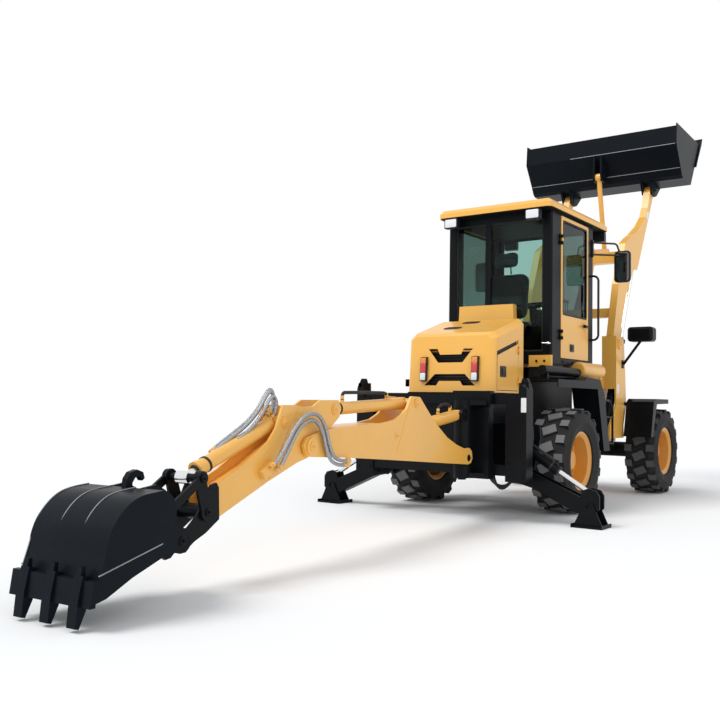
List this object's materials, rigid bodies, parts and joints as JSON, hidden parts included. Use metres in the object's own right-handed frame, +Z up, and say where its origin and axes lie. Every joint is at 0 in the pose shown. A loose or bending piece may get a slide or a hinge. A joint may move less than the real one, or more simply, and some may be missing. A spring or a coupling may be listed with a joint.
{
  "type": "backhoe loader",
  "caption": "Articulated backhoe loader with a raised loader bucket in front, a glazed cab and a side-shifting backhoe stretched out behind.",
  "frame": {"origin": "on the ground under the middle of the overall box", "axes": "+X forward, +Y to the machine's left, +Z up"},
  "size_m": [10.4018, 3.176, 4.938],
  "materials": {
    "yellow_paint": "semi-gloss yellow enamel",
    "black_paint": "satin black enamel",
    "tyre_rubber": "matte rubber",
    "chrome_rod": "hard chrome",
    "clear_glass": "clear glass",
    "engine_iron": "dull cast iron",
    "cab_plastic": "matte trim and vinyl",
    "lamp_plastic": "matte plastic"
  },
  "bodies": {
    "machine": {"rear_chassis": "black_paint", "rear_axle": "black_paint", "engine_block": "engine_iron", "hood": "yellow_paint", "hood_grille": "black_paint", "cab_frame": "black_paint", "cab_glass": "clear_glass", "cab_roof": "yellow_paint", "seat_console": "cab_plastic", "seat": "cab_plastic", "rear_fenders": "black_paint", "lamps_mirrors": "lamp_plastic", "backhoe_frame": "black_paint"},
    "hood_door_left": {"hood_door_left": "yellow_paint"},
    "hood_door_right": {"hood_door_right": "yellow_paint"},
    "door_left": {"door_left": "yellow_paint", "door_glass_left": "clear_glass"},
    "door_right": {"door_right": "yellow_paint", "door_glass_right": "clear_glass"},
    "front_frame": {"front_frame": "yellow_paint", "front_axle": "black_paint", "front_fenders": "black_paint"},
    "loader_arms": {"loader_arms": "yellow_paint"},
    "lift_barrels": {"lift_barrels": "black_paint"},
    "lift_rods": {"lift_rods": "chrome_rod"},
    "tilt_lever": {"tilt_lever": "yellow_paint"},
    "tilt_link": {"tilt_link": "yellow_paint"},
    "tilt_barrel": {"tilt_barrel": "black_paint"},
    "tilt_rod": {"tilt_rod": "chrome_rod"},
    "loader_bucket": {"loader_bucket": "black_paint"},
    "carriage": {"carriage": "black_paint"},
    "swing_post": {"swing_post": "black_paint"},
    "boom": {"boom": "yellow_paint"},
    "boom_barrel": {"boom_barrel": "yellow_paint"},
    "boom_rod": {"boom_rod": "chrome_rod"},
    "arm": {"arm": "yellow_paint", "arm_nose": "black_paint"},
    "arm_barrel": {"arm_barrel": "yellow_paint"},
    "arm_rod": {"arm_rod": "chrome_rod"},
    "backhoe_bucket": {"backhoe_bucket": "black_paint"},
    "bucket_barrel": {"bucket_barrel": "yellow_paint"},
    "bucket_rod": {"bucket_rod": "chrome_rod"},
    "rocker": {"rocker": "black_paint"},
    "push_link": {"push_link": "black_paint"},
    "wheel_rear_left": {"tyre_rear_left": "tyre_rubber", "rim_rear_left": "yellow_paint"},
    "wheel_rear_right": {"tyre_rear_right": "tyre_rubber", "rim_rear_right": "yellow_paint"},
    "wheel_front_left": {"tyre_front_left": "tyre_rubber", "rim_front_left": "yellow_paint"},
    "wheel_front_right": {"tyre_front_right": "tyre_rubber", "rim_front_right": "yellow_paint"},
    "leg_left": {"leg_left": "black_paint"},
    "pad_left": {"pad_left": "black_paint"},
    "leg_barrel_left": {"leg_barrel_left": "black_paint"},
    "leg_rod_left": {"leg_rod_left": "chrome_rod"},
    "leg_right": {"leg_right": "black_paint"},
    "pad_right": {"pad_right": "black_paint"},
    "leg_barrel_right": {"leg_barrel_right": "black_paint"},
    "leg_rod_right": {"leg_rod_right": "chrome_rod"}
  },
  "joints": [
    {"name": "spin_rear_left", "type": "hinge", "parent": "machine", "child": "wheel_rear_left", "pos_m": [0.8159, 0.84, 0.532], "axis": [0, 1, 0], "continuous": true},
    {"name": "spin_rear_right", "type": "hinge", "parent": "machine", "child": "wheel_rear_right", "pos_m": [0.8159, -0.84, 0.532], "axis": [0, 1, 0], "continuous": true},
    {"name": "spin_front_left", "type": "hinge", "parent": "front_frame", "child": "wheel_front_left", "pos_m": [3.6159, 0.84, 0.532], "axis": [0, 1, 0], "continuous": true},
    {"name": "spin_front_right", "type": "hinge", "parent": "front_frame", "child": "wheel_front_right", "pos_m": [3.6159, -0.84, 0.532], "axis": [0, 1, 0], "continuous": true},
    {"name": "articulation", "type": "hinge", "parent": "machine", "child": "front_frame", "pos_m": [2.2659, 0, 0.8], "axis": [0, 0, 1], "range_deg": [-30, 30]},
    {"name": "hood_door_left", "type": "hinge", "parent": "machine", "child": "hood_door_left", "pos_m": [0.4009, 0.512, 1.4], "axis": [0, 0, -1], "range_deg": [0, 85]},
    {"name": "door_left", "type": "hinge", "parent": "machine", "child": "door_left", "pos_m": [1.1659, 0.646, 2.3], "axis": [0, 0, 1], "range_deg": [0, 85]},
    {"name": "hood_door_right", "type": "hinge", "parent": "machine", "child": "hood_door_right", "pos_m": [0.4009, -0.512, 1.4], "axis": [0, 0, 1], "range_deg": [0, 85]},
    {"name": "door_right", "type": "hinge", "parent": "machine", "child": "door_right", "pos_m": [1.1659, -0.646, 2.3], "axis": [0, 0, -1], "range_deg": [0, 85]},
    {"name": "loader_lift", "type": "hinge", "parent": "front_frame", "child": "loader_arms", "pos_m": [2.8909, 0, 1.85], "axis": [0, -1, 0], "range_deg": [-91.5, 2]},
    {"name": "bucket_tilt", "type": "hinge", "parent": "loader_arms", "child": "loader_bucket", "pos_m": [4.3559, 0, 4.07], "axis": [0, -1, 0], "range_deg": [-100, 5]},
    {"name": "lift_barrel_turn", "type": "hinge", "parent": "front_frame", "child": "lift_barrels", "pos_m": [2.6759, 0, 0.8], "axis": [0, -1, 0], "range_deg": [-53.8, 1.3]},
    {"name": "lift_rod_slide", "type": "slide", "parent": "lift_barrels", "child": "lift_rods", "axis": [0.4167, 0, 0.9091], "range_m": [-0.945, 0.023]},
    {"name": "tilt_lever_turn", "type": "hinge", "parent": "loader_arms", "child": "tilt_lever", "pos_m": [3.6159, 0, 3.12], "axis": [0, -1, 0], "range_deg": [-1.8, 33.7]},
    {"name": "tilt_link_turn", "type": "hinge", "parent": "tilt_lever", "child": "tilt_link", "pos_m": [4.2059, 0, 3.234], "axis": [0, -1, 0], "range_deg": [-75.6, 3.9]},
    {"name": "tilt_barrel_turn", "type": "hinge", "parent": "loader_arms", "child": "tilt_barrel", "pos_m": [3.0959, 0, 2.16], "axis": [0, -1, 0], "range_deg": [-9.7, 0.6]},
    {"name": "tilt_rod_slide", "type": "slide", "parent": "tilt_barrel", "child": "tilt_rod", "axis": [0.5197, 0, 0.8543], "range_m": [-0.005, 0.08]},
    {"name": "side_shift", "type": "slide", "parent": "machine", "child": "carriage", "axis": [0, 1, 0], "range_m": [-0.1, 0.9]},
    {"name": "boom_swing", "type": "hinge", "parent": "carriage", "child": "swing_post", "pos_m": [-0.5841, -0.408, 0.8], "axis": [0, 0, 1], "range_deg": [-90, 86]},
    {"name": "boom_lift", "type": "hinge", "parent": "swing_post", "child": "boom", "pos_m": [-0.69387, -0.4151, 0.602], "axis": [-0.0645, 0.9979, 0], "range_deg": [-42, 58]},
    {"name": "boom_barrel_turn", "type": "hinge", "parent": "swing_post", "child": "boom_barrel", "pos_m": [-0.69387, -0.4151, 0.99], "axis": [-0.0645, 0.9979, 0], "range_deg": [-42.4, 58.5]},
    {"name": "boom_rod_slide", "type": "slide", "parent": "boom_barrel", "child": "boom_rod", "axis": [-0.9908, -0.0641, -0.1194], "range_m": [-0.342, 0.248]},
    {"name": "arm_turn", "type": "hinge", "parent": "boom", "child": "arm", "pos_m": [-3.16571, -0.57495, 0.79], "axis": [-0.0645, 0.9979, 0], "range_deg": [-105, 4]},
    {"name": "arm_barrel_turn", "type": "hinge", "parent": "boom", "child": "arm_barrel", "pos_m": [-1.70176, -0.48028, 1.088], "axis": [-0.0645, 0.9979, 0], "range_deg": [-0.3, 4.7]},
    {"name": "arm_rod_slide", "type": "slide", "parent": "arm_barrel", "child": "arm_rod", "axis": [-0.9969, -0.0645, -0.0453], "range_m": [-0.026, 0.62]},
    {"name": "bucket_curl", "type": "hinge", "parent": "arm", "child": "backhoe_bucket", "pos_m": [-4.37618, -0.65322, 0.318], "axis": [-0.0645, 0.9979, 0], "range_deg": [-95, 4]},
    {"name": "rocker_turn", "type": "hinge", "parent": "arm", "child": "rocker", "pos_m": [-4.1766, -0.64032, 0.455], "axis": [-0.0645, 0.9979, 0], "range_deg": [-79.2, 3.5]},
    {"name": "push_link_turn", "type": "hinge", "parent": "rocker", "child": "push_link", "pos_m": [-4.24445, -0.6447, 0.65], "axis": [-0.0645, 0.9979, 0], "range_deg": [-2.3, 52.1]},
    {"name": "bucket_barrel_turn", "type": "hinge", "parent": "arm", "child": "bucket_barrel", "pos_m": [-3.42816, -0.59192, 0.957], "axis": [-0.0645, 0.9979, 0], "range_deg": [-7.5, 0.5]},
    {"name": "bucket_rod_slide", "type": "slide", "parent": "bucket_barrel", "child": "bucket_rod", "axis": [-0.9343, -0.0604, -0.3514], "range_m": [-0.011, 0.235]},
    {"name": "leg_left", "type": "hinge", "parent": "machine", "child": "leg_left", "pos_m": [-0.0641, 0.76, 0.44], "axis": [1, 0, 0], "range_deg": [-6, 72]},
    {"name": "pad_left", "type": "hinge", "parent": "leg_left", "child": "pad_left", "pos_m": [-0.0641, 1.448, 0.19], "axis": [1, 0, 0], "range_deg": [-35, 25]},
    {"name": "leg_barrel_turn_left", "type": "hinge", "parent": "machine", "child": "leg_barrel_left", "pos_m": [-0.0641, 0.79, 0.69], "axis": [1, 0, 0], "range_deg": [-6.4, 75.3]},
    {"name": "leg_rod_slide_left", "type": "slide", "parent": "leg_barrel_left", "child": "leg_rod_left", "axis": [0, 0.8575, -0.5145], "range_m": [-0.297, 0.027]},
    {"name": "leg_right", "type": "hinge", "parent": "machine", "child": "leg_right", "pos_m": [-0.0641, -0.76, 0.44], "axis": [-1, 0, 0], "range_deg": [-6, 72]},
    {"name": "pad_right", "type": "hinge", "parent": "leg_right", "child": "pad_right", "pos_m": [-0.0641, -1.448, 0.19], "axis": [-1, 0, 0], "range_deg": [-35, 25]},
    {"name": "leg_barrel_turn_right", "type": "hinge", "parent": "machine", "child": "leg_barrel_right", "pos_m": [-0.0641, -0.79, 0.69], "axis": [-1, 0, 0], "range_deg": [-6.4, 75.3]},
    {"name": "leg_rod_slide_right", "type": "slide", "parent": "leg_barrel_right", "child": "leg_rod_right", "axis": [0, -0.8575, -0.5145], "range_m": [-0.297, 0.027]}
  ],
  "couplings": [
    {"joint": "lift_barrel_turn", "follows": "loader_lift", "ratio": 0.58596},
    {"joint": "lift_rod_slide", "follows": "loader_lift", "m_per_rad": 0.59018},
    {"joint": "tilt_lever_turn", "follows": "bucket_tilt", "ratio": -0.33521},
    {"joint": "tilt_link_turn", "follows": "bucket_tilt", "ratio": 0.75454},
    {"joint": "tilt_barrel_turn", "follows": "bucket_tilt", "ratio": 0.09504},
    {"joint": "tilt_rod_slide", "follows": "bucket_tilt", "m_per_rad": -0.04506},
    {"joint": "boom_barrel_turn", "follows": "boom_lift", "ratio": 1.0056},
    {"joint": "boom_rod_slide", "follows": "boom_lift", "m_per_rad": -0.33543},
    {"joint": "arm_barrel_turn", "follows": "arm_turn", "ratio": -0.04368},
    {"joint": "arm_rod_slide", "follows": "arm_turn", "m_per_rad": -0.33707},
    {"joint": "rocker_turn", "follows": "bucket_curl", "ratio": 0.83204},
    {"joint": "push_link_turn", "follows": "bucket_curl", "ratio": -0.54646},
    {"joint": "bucket_barrel_turn", "follows": "bucket_curl", "ratio": 0.07784},
    {"joint": "bucket_rod_slide", "follows": "bucket_curl", "m_per_rad": -0.14112},
    {"joint": "leg_barrel_turn_left", "follows": "leg_left", "ratio": 1.0441},
    {"joint": "leg_rod_slide_left", "follows": "leg_left", "m_per_rad": -0.23417},
    {"joint": "leg_barrel_turn_right", "follows": "leg_right", "ratio": 1.0441},
    {"joint": "leg_rod_slide_right", "follows": "leg_right", "m_per_rad": -0.23417}
  ]
}
